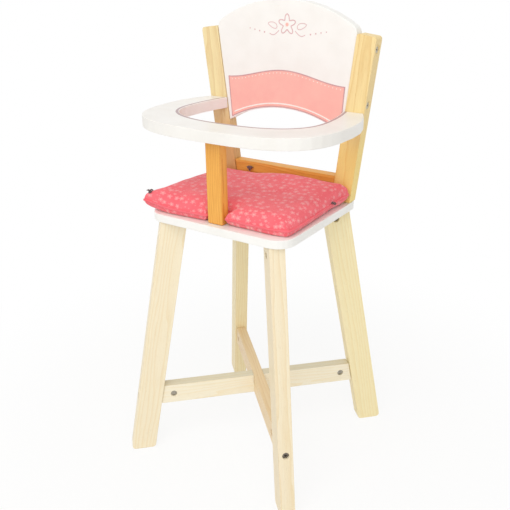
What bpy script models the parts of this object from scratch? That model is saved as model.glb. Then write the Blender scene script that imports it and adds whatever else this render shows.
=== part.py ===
"""A wooden doll high chair: four splayed legs on a crossed brace, a painted seat board with a
cushion, two splayed posts that carry a painted backrest, and a fixed play tray.

Metres, +Z up. The origin is on the floor under the middle of the four feet. The front of the
chair faces -Y and the viewer's right is +X.
"""

import math

import bpy
import bmesh
from mathutils import Matrix, Vector

# Clearances and eased edges
JOINT_GAP = 0.0003
BORE_PLAY = 0.0003
CUT_OVERRUN = 0.002
WELD_REACH = 0.000002
WOOD_EASE = 0.0012
SEAT_EASE = 0.0025
TRAY_EASE = 0.003
PANEL_EASE = 0.0015

# Legs: boards on edge in the two diagonal planes of the seat
LEG_FOOT_REACH = 0.102
LEG_TOP_REACH = 0.0641
LEG_HEIGHT = 0.291
LEG_WIDTH = 0.028
LEG_THICKNESS = 0.016
LEG_FOOT_RADIUS = 0.004

# Crossed brace between the legs
BRACE_AXIS_HEIGHT = 0.072
BRACE_DEPTH = 0.024
BRACE_THICKNESS = 0.012

# Seat board
SEAT_THICKNESS = 0.009
SEAT_FRONT = 0.081
SEAT_BACK = 0.081
SEAT_HALF_WIDTH = 0.087
SEAT_CORNER_RADIUS = 0.020

# Back posts, which stand on the seat board and splay outwards
POST_FOOT_REACH = 0.075
POST_TOP_REACH = 0.0975
POST_RISE = 0.178
POST_WIDTH = 0.022
POST_THICKNESS = 0.014
POST_TOP_RADIUS = 0.003
POST_FRONT = 0.056

# Rear rail between the feet of the posts
RAIL_DEPTH = 0.028
RAIL_THICKNESS = 0.012

# Backrest panel between the posts
PANEL_THICKNESS = 0.012
PANEL_SIDE_LOW = 0.075
PANEL_SIDE_HIGH = 0.1835
PANEL_CREST_RISE = 0.0265
PANEL_ARCH_RISE = 0.0205
PANEL_CORNER_RADIUS = 0.010

# Tray: a D-shaped board with two arms round a D-shaped cut-out that opens to the back
TRAY_CLEARANCE = 0.0885
TRAY_THICKNESS = 0.012
TRAY_HALF_WIDTH = 0.115
TRAY_FRONT = 0.090
TRAY_ARM_WIDTH = 0.023
OPENING_HALF_WIDTH = 0.084
OPENING_FRONT = 0.056

# Front support between the seat board and the tray
SUPPORT_WIDTH = 0.018
SUPPORT_DEPTH = 0.011
SUPPORT_FRONT = 0.0745

# Seat cushion
CUSHION_THICKNESS = 0.016
CUSHION_CROWN = 0.006
CUSHION_FRONT = 0.0825
CUSHION_OVERHANG = 0.003
CUSHION_BACK_GAP = 0.001
CUSHION_DRAW = 0.004
CUSHION_NOTCH_PLAY = 0.0035

# Furniture bolts and their cross nuts
BOLT_RADIUS = 0.002
BOLT_HEAD_RADIUS = 0.0035
BOLT_HEAD_HEIGHT = 0.004
BOLT_CHAMFER = 0.0005
BOLT_KEY_WIDTH = 0.003
BOLT_KEY_DEPTH = 0.002
BOLT_PAST_NUT = 0.005
HEAD_SINK = 0.001
NUT_RADIUS = 0.0035
NUT_LENGTH = 0.009
NUT_SLOT_WIDTH = 0.001
NUT_SLOT_DEPTH = 0.0008
LEG_NUT_DEPTH = 0.013
BRACE_NUT_DEPTH = 0.013
POST_NUT_DEPTH = 0.018
POST_BOLT_OFFSET = 0.0065
TRAY_NUT_DEPTH = 0.014

# Countersunk wood screws and dowels
SCREW_RADIUS = 0.0018
SCREW_HEAD_RADIUS = 0.0035
SCREW_HEAD_HEIGHT = 0.0022
SCREW_POINT = 0.004
SCREW_DRIVE_RADIUS = 0.0012
SCREW_DRIVE_DEPTH = 0.001
PANEL_SCREW_GRIP = 0.016
SUPPORT_SCREW_GRIP = 0.020
DOWEL_RADIUS = 0.003
DOWEL_CHAMFER = 0.0006
DOWEL_GRIP = 0.006

# Counts
ARC_STEPS = 6
CORNER_STEPS = 3
BOW_STEPS = 12
TRAY_STEPS = 11
ARM_STEPS = 3
EASE_STEPS = 2
ROUND_SIDES = 14
TURN_STEPS = 12
KEY_SIDES = 6
CUSHION_SMOOTHING = 2

# Shares, and how square the tray's curves are: 2 is an ellipse, more is squarer
TRAY_SQUARENESS = 3.0
OPENING_SQUARENESS = 2.5
PANEL_SCREW_SHARES = (0.30, 0.82)
CUSHION_RIM_SHARE = 0.82
CUSHION_ROW_SHARES = (0.45, 0.86)

# Colours
BEECH = (0.86, 0.72, 0.47, 1.0)
PINE = (0.90, 0.62, 0.24, 1.0)
WHITE_PAINT = (0.92, 0.91, 0.89, 1.0)
CORAL = (0.86, 0.17, 0.20, 1.0)
STEEL = (0.34, 0.33, 0.32, 1.0)

# Heights and depths that follow from the sizes above
SEAT_TOP = LEG_HEIGHT + SEAT_THICKNESS
POST_TOP = SEAT_TOP + POST_RISE
TRAY_UNDERSIDE = SEAT_TOP + TRAY_CLEARANCE
TRAY_MIDDLE = TRAY_UNDERSIDE + TRAY_THICKNESS / 2
POST_MIDDLE = POST_FRONT + POST_THICKNESS / 2
POST_BACK = POST_FRONT + POST_THICKNESS
SUPPORT_MIDDLE = SUPPORT_FRONT - SUPPORT_DEPTH / 2
DIAGONAL = math.sqrt(2)
UP = Vector((0, 0, 1))

# The legs by their place, and the sign of their X and Y
LEG_PLACES = {
    "front_left": (-1, -1),
    "front_right": (1, -1),
    "rear_right": (1, 1),
    "rear_left": (-1, 1),
}
SIDES = {"left": -1, "right": 1}


def clear_scene():
    for item in list(bpy.data.objects):
        bpy.data.objects.remove(item, do_unlink=True)


def new_collection(name):
    collection = bpy.data.collections.new(name)
    bpy.context.scene.collection.children.link(collection)
    return collection


def new_material(name, colour, roughness, metallic=0.0):
    material = bpy.data.materials.new(name)
    material.use_nodes = True
    shader = material.node_tree.nodes["Principled BSDF"]
    shader.inputs["Base Color"].default_value = colour
    shader.inputs["Roughness"].default_value = roughness
    shader.inputs["Metallic"].default_value = metallic
    return material


clear_scene()
PARTS = new_collection("doll_high_chair")
CUTTERS = new_collection("cutters")
WOOD_PALE = new_material("pale clear wood", BEECH, 0.45)
WOOD_WARM = new_material("warm clear wood", PINE, 0.45)
PAINT = new_material("white paint", WHITE_PAINT, 0.35)
FABRIC = new_material("coral cotton", CORAL, 0.9)
METAL = new_material("dark plated steel", STEEL, 0.35, 1.0)


def add_object(name, mesh, matrix, material=None, collection=PARTS):
    item = bpy.data.objects.new(name, mesh)
    item.matrix_world = matrix
    if material and not mesh.materials:
        mesh.materials.append(material)
    collection.objects.link(item)
    return item


def standing(direction, depth=0.0):
    """The matrix that stands an outline upright with its X along a level direction."""
    across = Vector((*direction, 0)).normalized()
    normal = across.cross(UP)
    turn = Matrix((across, UP, normal)).transposed().to_4x4()
    return Matrix.Translation((0, depth, 0)) @ turn


def pointing(origin, direction):
    """The matrix whose Z runs along direction from origin."""
    turn = Vector(direction).to_track_quat("Z", "Y").to_matrix().to_4x4()
    return Matrix.Translation(origin) @ turn


def rounded(corners, steps=ARC_STEPS):
    """An outline through corners of (x, y, radius). A radius turns its corner with an arc."""
    points = []
    for index, (x, y, radius) in enumerate(corners):
        corner = Vector((x, y))
        if not radius:
            points.append(corner)
            continue
        before = (Vector(corners[index - 1][:2]) - corner).normalized()
        after = (Vector(corners[(index + 1) % len(corners)][:2]) - corner).normalized()
        half = before.angle(after) / 2
        centre = corner + (before + after).normalized() * (radius / math.sin(half))
        spoke = corner + before * (radius / math.tan(half)) - centre
        last = corner + after * (radius / math.tan(half)) - centre
        sweep = spoke.angle_signed(last)
        for step in range(steps + 1):
            points.append(centre + Matrix.Rotation(-sweep * step / steps, 2) @ spoke)
    return points


def bowed(start, end, rise):
    """Points of the arc from start to end that stands rise to the left of a straight line."""
    start = Vector(start)
    end = Vector(end)
    half = (end - start).length / 2
    radius = (half * half + rise * rise) / (2 * rise)
    centre = (start + end) / 2 + (end - start).orthogonal().normalized() * (rise - radius)
    sweep = 2 * math.atan2(half, radius - rise)
    spoke = start - centre
    return [
        centre + Matrix.Rotation(-sweep * step / BOW_STEPS, 2) @ spoke
        for step in range(BOW_STEPS + 1)
    ]


def plate_mesh(name, outline, thickness):
    """A flat outline with a thickness, centred on its own XY plane."""
    curve = bpy.data.curves.new(name, "CURVE")
    curve.dimensions = "2D"
    curve.fill_mode = "BOTH"
    curve.extrude = thickness / 2
    spline = curve.splines.new("POLY")
    spline.points.add(len(outline) - 1)
    for point, (x, y) in zip(spline.points, outline):
        point.co = (x, y, 0, 1)
    spline.use_cyclic_u = True
    holder = add_object(name, curve, Matrix.Identity(4))
    graph = bpy.context.evaluated_depsgraph_get()
    mesh = bpy.data.meshes.new_from_object(holder.evaluated_get(graph))
    bpy.data.objects.remove(holder, do_unlink=True)
    body = bmesh.new()
    body.from_mesh(mesh)
    bmesh.ops.remove_doubles(body, verts=body.verts, dist=WELD_REACH)
    bmesh.ops.recalc_face_normals(body, faces=body.faces)
    body.to_mesh(mesh)
    body.free()
    return mesh


def plate(name, outline, thickness, matrix, material, ease):
    """A board cut to an outline, with its edges eased."""
    item = add_object(name, plate_mesh(name, outline, thickness), matrix, material)
    bevel = item.modifiers.new("eased edges", "BEVEL")
    bevel.width = ease
    bevel.segments = EASE_STEPS
    bevel.limit_method = "ANGLE"
    bevel.angle_limit = math.radians(40)
    return item


def block_mesh(name, size):
    mesh = bpy.data.meshes.new(name)
    body = bmesh.new()
    bmesh.ops.create_cube(body, size=1, matrix=Matrix.Diagonal((*size, 1)))
    body.to_mesh(mesh)
    body.free()
    return mesh


def round_mesh(name, radius, length, sides=ROUND_SIDES, end_radius=None):
    """A cylinder or cone that starts on its own XY plane and runs along Z."""
    mesh = bpy.data.meshes.new(name)
    body = bmesh.new()
    bmesh.ops.create_cone(
        body,
        cap_ends=True,
        segments=sides,
        radius1=radius,
        radius2=radius if end_radius is None else end_radius,
        depth=length,
        matrix=Matrix.Translation((0, 0, length / 2)),
    )
    body.to_mesh(mesh)
    body.free()
    return mesh


def cut(item, mesh, matrix):
    """Cuts a mesh out of item."""
    cutter = add_object(mesh.name, mesh, matrix, collection=CUTTERS)
    cutter.hide_render = True
    cutter.display_type = "WIRE"
    boolean = item.modifiers.new(mesh.name, "BOOLEAN")
    boolean.operation = "DIFFERENCE"
    boolean.object = cutter


def bore(item, start, direction, radius, depth, sides=ROUND_SIDES):
    """Drills item from start, a point on its surface, depth deep."""
    unit = Vector(direction).normalized()
    mesh = round_mesh(item.name + "_bore", radius, depth + CUT_OVERRUN, sides)
    cut(item, mesh, pointing(Vector(start) - unit * CUT_OVERRUN, unit))


def countersink(item, start, direction):
    """A conical seat for a screw head that lies HEAD_SINK below the surface at start."""
    unit = Vector(direction).normalized()
    slope = (SCREW_HEAD_RADIUS - SCREW_RADIUS) / SCREW_HEAD_HEIGHT
    depth = HEAD_SINK + SCREW_HEAD_HEIGHT
    length = depth + CUT_OVERRUN
    narrow = SCREW_RADIUS + BORE_PLAY
    mesh = round_mesh(item.name + "_countersink", narrow + slope * length, length, end_radius=narrow)
    cut(item, mesh, pointing(Vector(start) - unit * CUT_OVERRUN, unit))


def baked(item):
    """The mesh of item with its modifiers applied. The item and its cutters are removed."""
    cutters = [modifier.object for modifier in item.modifiers if modifier.type == "BOOLEAN"]
    graph = bpy.context.evaluated_depsgraph_get()
    mesh = bpy.data.meshes.new_from_object(item.evaluated_get(graph))
    for spare in [item, *cutters]:
        bpy.data.objects.remove(spare, do_unlink=True)
    mesh.shade_smooth()
    mesh.set_sharp_from_angle(angle=math.radians(35))
    return mesh


def turned(name, profile, material):
    """A solid turned about Z from (radius, height) points that run down its outer side."""
    mesh = bpy.data.meshes.new(name)
    body = bmesh.new()
    points = [body.verts.new((radius, 0, height)) for radius, height in profile]
    for first, second in zip(points, points[1:]):
        body.edges.new((first, second))
    body.to_mesh(mesh)
    body.free()
    item = add_object(name, mesh, Matrix.Identity(4), material)
    screw = item.modifiers.new("turning", "SCREW")
    screw.steps = TURN_STEPS
    screw.render_steps = TURN_STEPS
    screw.use_merge_vertices = True
    screw.merge_threshold = WELD_REACH
    return item


def bolt_mesh(length):
    """A cap-head bolt with a key socket. Its head starts at Z = 0 and it points up."""
    tip = BOLT_HEAD_HEIGHT + length
    profile = [
        (0, tip),
        (BOLT_RADIUS - BOLT_CHAMFER, tip),
        (BOLT_RADIUS, tip - BOLT_CHAMFER),
        (BOLT_RADIUS, BOLT_HEAD_HEIGHT),
        (BOLT_HEAD_RADIUS, BOLT_HEAD_HEIGHT),
        (BOLT_HEAD_RADIUS, BOLT_CHAMFER),
        (BOLT_HEAD_RADIUS - BOLT_CHAMFER, 0),
        (0, 0),
    ]
    item = turned("bolt", profile, METAL)
    key_radius = BOLT_KEY_WIDTH / 2 / math.cos(math.pi / KEY_SIDES)
    bore(item, (0, 0, 0), UP, key_radius, BOLT_KEY_DEPTH, KEY_SIDES)
    return baked(item)


def cross_nut_mesh():
    """A cross nut along Z, its middle at the origin, drilled along X and slotted at the top."""
    mesh = round_mesh("cross_nut", NUT_RADIUS, NUT_LENGTH)
    mesh.transform(Matrix.Translation((0, 0, -NUT_LENGTH / 2)))
    item = add_object("cross_nut", mesh, Matrix.Identity(4), METAL)
    through = 2 * NUT_RADIUS + CUT_OVERRUN
    bore(item, (-NUT_RADIUS, 0, 0), (1, 0, 0), BOLT_RADIUS + BORE_PLAY, through)
    slot = block_mesh("cross_nut_slot", (NUT_SLOT_WIDTH, 2 * through, 2 * NUT_SLOT_DEPTH))
    cut(item, slot, Matrix.Translation((0, 0, NUT_LENGTH / 2)))
    return baked(item)


def wood_screw_mesh(length):
    """A countersunk wood screw. Its head starts at Z = 0 and it points up."""
    profile = [
        (0, length),
        (SCREW_RADIUS, length - SCREW_POINT),
        (SCREW_RADIUS, SCREW_HEAD_HEIGHT),
        (SCREW_HEAD_RADIUS, 0),
        (0, 0),
    ]
    item = turned("wood_screw", profile, METAL)
    bore(item, (0, 0, 0), UP, SCREW_DRIVE_RADIUS, SCREW_DRIVE_DEPTH, KEY_SIDES)
    return baked(item)


def dowel_mesh():
    """A beech dowel along Z, its middle at the origin."""
    half = DOWEL_GRIP + JOINT_GAP / 2
    profile = [
        (0, half),
        (DOWEL_RADIUS - DOWEL_CHAMFER, half),
        (DOWEL_RADIUS, half - DOWEL_CHAMFER),
        (DOWEL_RADIUS, DOWEL_CHAMFER - half),
        (DOWEL_RADIUS - DOWEL_CHAMFER, -half),
        (0, -half),
    ]
    return baked(turned("dowel", profile, WOOD_PALE))


def leg_reach(height):
    """How far a leg's middle line is from the chair's axis, along X and along Y."""
    return LEG_FOOT_REACH + (LEG_TOP_REACH - LEG_FOOT_REACH) * height / LEG_HEIGHT


LEG_SPLAY = math.atan2((LEG_FOOT_REACH - LEG_TOP_REACH) * DIAGONAL, LEG_HEIGHT)
LEG_LEVEL_HALF = LEG_WIDTH / 2 / math.cos(LEG_SPLAY)


def post_reach(height):
    """How far a post's middle line is from the chair's middle plane."""
    return POST_FOOT_REACH + (POST_TOP_REACH - POST_FOOT_REACH) * (height - SEAT_TOP) / POST_RISE


POST_SPLAY = math.atan2(POST_TOP_REACH - POST_FOOT_REACH, POST_RISE)
POST_LEVEL_HALF = POST_WIDTH / 2 / math.cos(POST_SPLAY)


def between_posts(height):
    """Half the free width between the posts, less the gap that a joint keeps."""
    return post_reach(height) - POST_LEVEL_HALF - JOINT_GAP


def make_legs():
    """Straight boards, cut level at the floor, with rounded corners, and level under the seat."""
    top = LEG_HEIGHT - JOINT_GAP
    foot_middle = LEG_FOOT_REACH * DIAGONAL
    top_middle = leg_reach(top) * DIAGONAL
    corners = [
        (foot_middle - LEG_LEVEL_HALF, 0, LEG_FOOT_RADIUS),
        (foot_middle + LEG_LEVEL_HALF, 0, LEG_FOOT_RADIUS),
        (top_middle + LEG_LEVEL_HALF, top, 0),
        (top_middle - LEG_LEVEL_HALF, top, 0),
    ]
    outline = rounded(corners, CORNER_STEPS)
    return {
        place: plate(
            "leg_" + place, outline, LEG_THICKNESS, standing(signs), WOOD_PALE, WOOD_EASE
        )
        for place, signs in LEG_PLACES.items()
    }


def make_brace(name, direction):
    """A bar on edge between two opposite legs."""
    low = BRACE_AXIS_HEIGHT - BRACE_DEPTH / 2
    high = BRACE_AXIS_HEIGHT + BRACE_DEPTH / 2
    low_end = leg_reach(low) * DIAGONAL - LEG_LEVEL_HALF - JOINT_GAP
    high_end = leg_reach(high) * DIAGONAL - LEG_LEVEL_HALF - JOINT_GAP
    outline = [(-low_end, low), (low_end, low), (high_end, high), (-high_end, high)]
    return plate(name, outline, BRACE_THICKNESS, standing(direction), WOOD_PALE, WOOD_EASE)


def halve(brace, slot_side):
    """Slots a brace to half its depth, from above or from below, for the other brace."""
    width = BRACE_THICKNESS + 2 * JOINT_GAP
    slot = block_mesh(brace.name + "_halving", (width, BRACE_DEPTH, BRACE_THICKNESS + CUT_OVERRUN))
    rise = BRACE_AXIS_HEIGHT + slot_side * (BRACE_DEPTH - JOINT_GAP) / 2
    cut(brace, slot, brace.matrix_world @ Matrix.Translation((0, rise, 0)))


def make_seat():
    corners = [
        (SEAT_HALF_WIDTH, -SEAT_FRONT, SEAT_CORNER_RADIUS),
        (SEAT_HALF_WIDTH, SEAT_BACK, SEAT_CORNER_RADIUS),
        (-SEAT_HALF_WIDTH, SEAT_BACK, SEAT_CORNER_RADIUS),
        (-SEAT_HALF_WIDTH, -SEAT_FRONT, SEAT_CORNER_RADIUS),
    ]
    middle = Matrix.Translation((0, 0, LEG_HEIGHT + SEAT_THICKNESS / 2))
    return plate("seat_board", rounded(corners), SEAT_THICKNESS, middle, PAINT, SEAT_EASE)


def make_post(name, side):
    """A straight board, cut level on the seat and square at the top, with rounded top corners."""
    foot = SEAT_TOP + JOINT_GAP
    square = Vector((math.cos(POST_SPLAY), -math.sin(POST_SPLAY))) * (POST_WIDTH / 2)
    head = Vector((POST_TOP_REACH, POST_TOP))
    corners = [
        (post_reach(foot) - POST_LEVEL_HALF, foot, 0),
        (post_reach(foot) + POST_LEVEL_HALF, foot, 0),
        (*(head + square), POST_TOP_RADIUS),
        (*(head - square), POST_TOP_RADIUS),
    ]
    corners = [(side * x, z, radius) for x, z, radius in corners]
    return plate(
        "back_post_" + name,
        rounded(corners, CORNER_STEPS),
        POST_THICKNESS,
        standing((1, 0), POST_MIDDLE),
        WOOD_WARM,
        WOOD_EASE,
    )


def make_rail():
    low = SEAT_TOP + JOINT_GAP
    high = low + RAIL_DEPTH
    outline = [
        (-between_posts(low), low),
        (between_posts(low), low),
        (between_posts(high), high),
        (-between_posts(high), high),
    ]
    upright = standing((1, 0), POST_MIDDLE)
    return plate("rear_rail", outline, RAIL_THICKNESS, upright, WOOD_WARM, WOOD_EASE)


def make_panel():
    """A board with an arched crest, sides that follow the posts and an arched lower edge."""
    low = SEAT_TOP + PANEL_SIDE_LOW
    high = SEAT_TOP + PANEL_SIDE_HIGH
    shoulder = between_posts(high)
    crest = bowed((-shoulder, high), (shoulder, high), PANEL_CREST_RISE)
    arch = bowed((-between_posts(low), low), (between_posts(low), low), PANEL_ARCH_RISE)
    corners = [(x, z, 0) for x, z in arch]
    corners.append((shoulder, high, PANEL_CORNER_RADIUS))
    corners.extend((x, z, 0) for x, z in reversed(crest[1:-1]))
    corners.append((-shoulder, high, PANEL_CORNER_RADIUS))
    upright = standing((1, 0), POST_MIDDLE)
    return plate("backrest_panel", rounded(corners), PANEL_THICKNESS, upright, PAINT, PANEL_EASE)


def tray_edge(half_width, front, squareness, end_reach, end):
    """A curve from the right post's face round the front of the chair to the left post's."""
    side = [
        (half_width - (half_width - end_reach) * share * share, end * share)
        for share in (1 - step / ARM_STEPS for step in range(ARM_STEPS))
    ]
    quarter = [
        (math.cos(angle) ** (2 / squareness), math.sin(angle) ** (2 / squareness))
        for angle in (math.pi / 2 * step / TRAY_STEPS for step in range(TRAY_STEPS))
    ]
    side += [(half_width * across, -front * along) for across, along in quarter]
    return side + [(0, -front)] + [(-x, y) for x, y in reversed(side)]


def make_tray():
    back = POST_FRONT - JOINT_GAP
    arm_outer = post_reach(TRAY_MIDDLE) + POST_LEVEL_HALF
    outer = tray_edge(TRAY_HALF_WIDTH, TRAY_FRONT, TRAY_SQUARENESS, arm_outer, back)
    arm_inner = arm_outer - TRAY_ARM_WIDTH
    inner = tray_edge(OPENING_HALF_WIDTH, OPENING_FRONT, OPENING_SQUARENESS, arm_inner, back)
    outline = [Vector(point) for point in outer + inner[::-1]]
    middle = Matrix.Translation((0, 0, TRAY_MIDDLE))
    return plate("tray", outline, TRAY_THICKNESS, middle, PAINT, TRAY_EASE)


def make_support():
    low = SEAT_TOP + JOINT_GAP
    high = TRAY_UNDERSIDE - JOINT_GAP
    half = SUPPORT_WIDTH / 2
    outline = [(-half, low), (half, low), (half, high), (-half, high)]
    upright = standing((1, 0), -SUPPORT_MIDDLE)
    return plate("front_support", outline, SUPPORT_DEPTH, upright, WOOD_WARM, WOOD_EASE)


def make_cushion():
    """A soft pad with a crowned top, drawn-in sides and a notch round the front support."""
    back = POST_FRONT - CUSHION_BACK_GAP
    notch_back = CUSHION_NOTCH_PLAY - (SUPPORT_FRONT - SUPPORT_DEPTH)
    notch_half = SUPPORT_WIDTH / 2 + CUSHION_NOTCH_PLAY
    length = back + CUSHION_FRONT
    rows = [-CUSHION_FRONT, notch_back]
    rows += [length * share - CUSHION_FRONT for share in CUSHION_ROW_SHARES]
    rows.append(back)

    def half_width(y):
        along = 2 * (y + CUSHION_FRONT) / length - 1
        return SEAT_HALF_WIDTH + CUSHION_OVERHANG - CUSHION_DRAW * (1 - along * along)

    body = bmesh.new()
    bottom = {}
    top = {}
    for j, y in enumerate(rows):
        half = half_width(y)
        columns = [notch_half, half * CUSHION_RIM_SHARE, half]
        columns = [-x for x in reversed(columns)] + columns
        along = 2 * (y + CUSHION_FRONT) / length - 1
        for i, x in enumerate(columns):
            across = x / half
            draw = CUSHION_DRAW * (1 - across * across) * ((1 - along) / 2) ** 9
            crown = CUSHION_CROWN * (1 - across * across) * (1 - along * along)
            low = SEAT_TOP + JOINT_GAP
            bottom[i, j] = body.verts.new((x, y + draw, low))
            top[i, j] = body.verts.new((x, y + draw, low + CUSHION_THICKNESS + crown))
    last_column = len(columns) - 1
    last_row = len(rows) - 1
    notch = (last_column // 2, 0)
    cells = [(i, j) for i in range(last_column) for j in range(last_row) if (i, j) != notch]
    for i, j in cells:
        ring = [(i, j), (i + 1, j), (i + 1, j + 1), (i, j + 1)]
        body.faces.new([top[place] for place in ring])
        body.faces.new([bottom[place] for place in reversed(ring)])
        for first, second, neighbour in (
            (ring[0], ring[1], (i, j - 1)),
            (ring[1], ring[2], (i + 1, j)),
            (ring[2], ring[3], (i, j + 1)),
            (ring[3], ring[0], (i - 1, j)),
        ):
            if neighbour not in cells:
                body.faces.new([bottom[first], bottom[second], top[second], top[first]])
    mesh = bpy.data.meshes.new("seat_cushion")
    body.to_mesh(mesh)
    body.free()
    mesh.shade_smooth()
    item = add_object("seat_cushion", mesh, Matrix.Identity(4), FABRIC)
    soften = item.modifiers.new("soft form", "SUBSURF")
    soften.levels = CUSHION_SMOOTHING
    soften.render_levels = CUSHION_SMOOTHING
    return item


def fit_bolt(name, head_piece, nut_piece, head, direction, through, depth, nut_side, nut_face):
    """Bolts head_piece to nut_piece from head, a point on the face that the head sinks into.

    through is the way to the seam, depth the way from the seam to the nut's middle, nut_side
    the side that the nut went in from and nut_face the way from the nut's middle to that side.
    """
    unit = Vector(direction).normalized()
    side = Vector(nut_side).normalized()
    start = Vector(head)
    seam = start + unit * through
    centre = seam + unit * depth
    shank = BOLT_RADIUS + BORE_PLAY
    bore(head_piece, start, unit, BOLT_HEAD_RADIUS + BORE_PLAY, HEAD_SINK + BOLT_HEAD_HEIGHT)
    bore(head_piece, start, unit, shank, through + CUT_OVERRUN)
    bore(nut_piece, seam, unit, shank, depth + BOLT_PAST_NUT + BORE_PLAY)
    nut_depth = nut_face + NUT_LENGTH / 2 + BORE_PLAY
    bore(nut_piece, centre + side * nut_face, -side, NUT_RADIUS + BORE_PLAY, nut_depth)
    length = through + depth + BOLT_PAST_NUT - HEAD_SINK - BOLT_HEAD_HEIGHT
    key = round(length / WELD_REACH)
    if key not in BOLT_MESHES:
        BOLT_MESHES[key] = bolt_mesh(length)
    add_object(name + "_bolt", BOLT_MESHES[key], pointing(start + unit * HEAD_SINK, unit))
    turn = Matrix((unit, side.cross(unit), side)).transposed().to_4x4()
    add_object(name + "_cross_nut", CROSS_NUT, Matrix.Translation(centre) @ turn)


def fit_screw(name, mesh, head_piece, grip_piece, head, direction, through, grip):
    """Screws grip_piece to head_piece from head, a point on the face that the head sinks into."""
    unit = Vector(direction).normalized()
    start = Vector(head)
    narrow = SCREW_RADIUS + BORE_PLAY
    countersink(head_piece, start, unit)
    bore(head_piece, start, unit, narrow, through + CUT_OVERRUN)
    bore(grip_piece, start + unit * through, unit, narrow, grip + BORE_PLAY)
    add_object(name, mesh, pointing(start + unit * HEAD_SINK, unit))


def fit_dowel(name, first, second, seam, direction):
    """A dowel that crosses the seam from one piece into the other."""
    unit = Vector(direction).normalized()
    middle = Vector(seam)
    radius = DOWEL_RADIUS + BORE_PLAY
    depth = DOWEL_GRIP + JOINT_GAP
    bore(first, middle, -unit, radius, depth)
    bore(second, middle, unit, radius, depth)
    add_object(name, DOWEL, pointing(middle, unit))


def fasten_legs(legs, braces, seat):
    for place, (x_sign, y_sign) in LEG_PLACES.items():
        outward = Vector((x_sign, y_sign, 0)).normalized()
        nut_side = Vector((y_sign, -x_sign, 0))
        top = (x_sign * LEG_TOP_REACH, y_sign * LEG_TOP_REACH, SEAT_TOP)
        fit_bolt(
            "leg_" + place,
            seat,
            legs[place],
            top,
            -UP,
            SEAT_THICKNESS + JOINT_GAP,
            LEG_NUT_DEPTH,
            nut_side,
            LEG_THICKNESS / 2,
        )
        reach = leg_reach(BRACE_AXIS_HEIGHT) * DIAGONAL + LEG_LEVEL_HALF
        brace = braces[x_sign * y_sign]
        fit_bolt(
            "brace_" + place,
            legs[place],
            brace,
            outward * reach + UP * BRACE_AXIS_HEIGHT,
            -outward,
            2 * LEG_LEVEL_HALF + JOINT_GAP,
            BRACE_NUT_DEPTH,
            (1, -1, 0) if x_sign == y_sign else (-1, -1, 0),
            BRACE_THICKNESS / 2,
        )


def fasten_back(posts, seat, rail, panel, tray):
    rail_middle = SEAT_TOP + JOINT_GAP + RAIL_DEPTH / 2
    panel_low = SEAT_TOP + PANEL_SIDE_LOW
    panel_side = PANEL_SIDE_HIGH - PANEL_SIDE_LOW
    through_post = 2 * POST_LEVEL_HALF + JOINT_GAP
    screw = wood_screw_mesh(through_post + PANEL_SCREW_GRIP - HEAD_SINK)
    for name, side in SIDES.items():
        post = posts[name]
        fit_bolt(
            "post_" + name,
            seat,
            post,
            (side * (POST_FOOT_REACH + POST_BOLT_OFFSET), POST_MIDDLE, LEG_HEIGHT),
            UP,
            SEAT_THICKNESS + JOINT_GAP,
            POST_NUT_DEPTH,
            (0, 1, 0),
            POST_THICKNESS / 2,
        )
        fit_bolt(
            "tray_" + name,
            post,
            tray,
            (side * post_reach(TRAY_MIDDLE), POST_BACK, TRAY_MIDDLE),
            (0, -1, 0),
            POST_THICKNESS + JOINT_GAP,
            TRAY_NUT_DEPTH,
            -UP,
            TRAY_THICKNESS / 2,
        )
        seam = side * (between_posts(rail_middle) + JOINT_GAP / 2)
        fit_dowel(
            "rail_dowel_" + name, rail, post, (seam, POST_MIDDLE, rail_middle), (side, 0, 0)
        )
        for level, share in zip(("lower", "upper"), PANEL_SCREW_SHARES):
            height = panel_low + panel_side * share
            fit_screw(
                f"panel_screw_{level}_{name}",
                screw,
                post,
                panel,
                (side * (post_reach(height) + POST_LEVEL_HALF), POST_MIDDLE, height),
                (-side, 0, 0),
                through_post,
                PANEL_SCREW_GRIP,
            )


def fasten_support(support, seat, tray):
    through = SEAT_THICKNESS + JOINT_GAP
    fit_screw(
        "front_support_screw",
        wood_screw_mesh(through + SUPPORT_SCREW_GRIP - HEAD_SINK),
        seat,
        support,
        (0, -SUPPORT_MIDDLE, LEG_HEIGHT),
        UP,
        through,
        SUPPORT_SCREW_GRIP,
    )
    seam = (0, -SUPPORT_MIDDLE, TRAY_UNDERSIDE - JOINT_GAP / 2)
    fit_dowel("front_support_dowel", support, tray, seam, UP)


BOLT_MESHES = {}
CROSS_NUT = cross_nut_mesh()
DOWEL = dowel_mesh()


def build_chair():
    legs = make_legs()
    braces = {
        1: make_brace("brace_front_left_to_rear_right", (1, 1)),
        -1: make_brace("brace_front_right_to_rear_left", (-1, 1)),
    }
    seat = make_seat()
    posts = {name: make_post(name, side) for name, side in SIDES.items()}
    rail = make_rail()
    panel = make_panel()
    tray = make_tray()
    support = make_support()
    make_cushion()
    fasten_legs(legs, braces, seat)
    for slot_side, brace in braces.items():
        halve(brace, slot_side)
    fasten_back(posts, seat, rail, panel, tray)
    fasten_support(support, seat, tray)


build_chair()
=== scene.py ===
"""Looks of the doll high chair.

Wood, paint and print finishes, the sewn cushion, the floor, the lamps and the camera.
"""

import math

import bmesh
import bpy
from mathutils import Euler, Matrix, Vector
from mathutils.bvhtree import BVHTree


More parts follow.
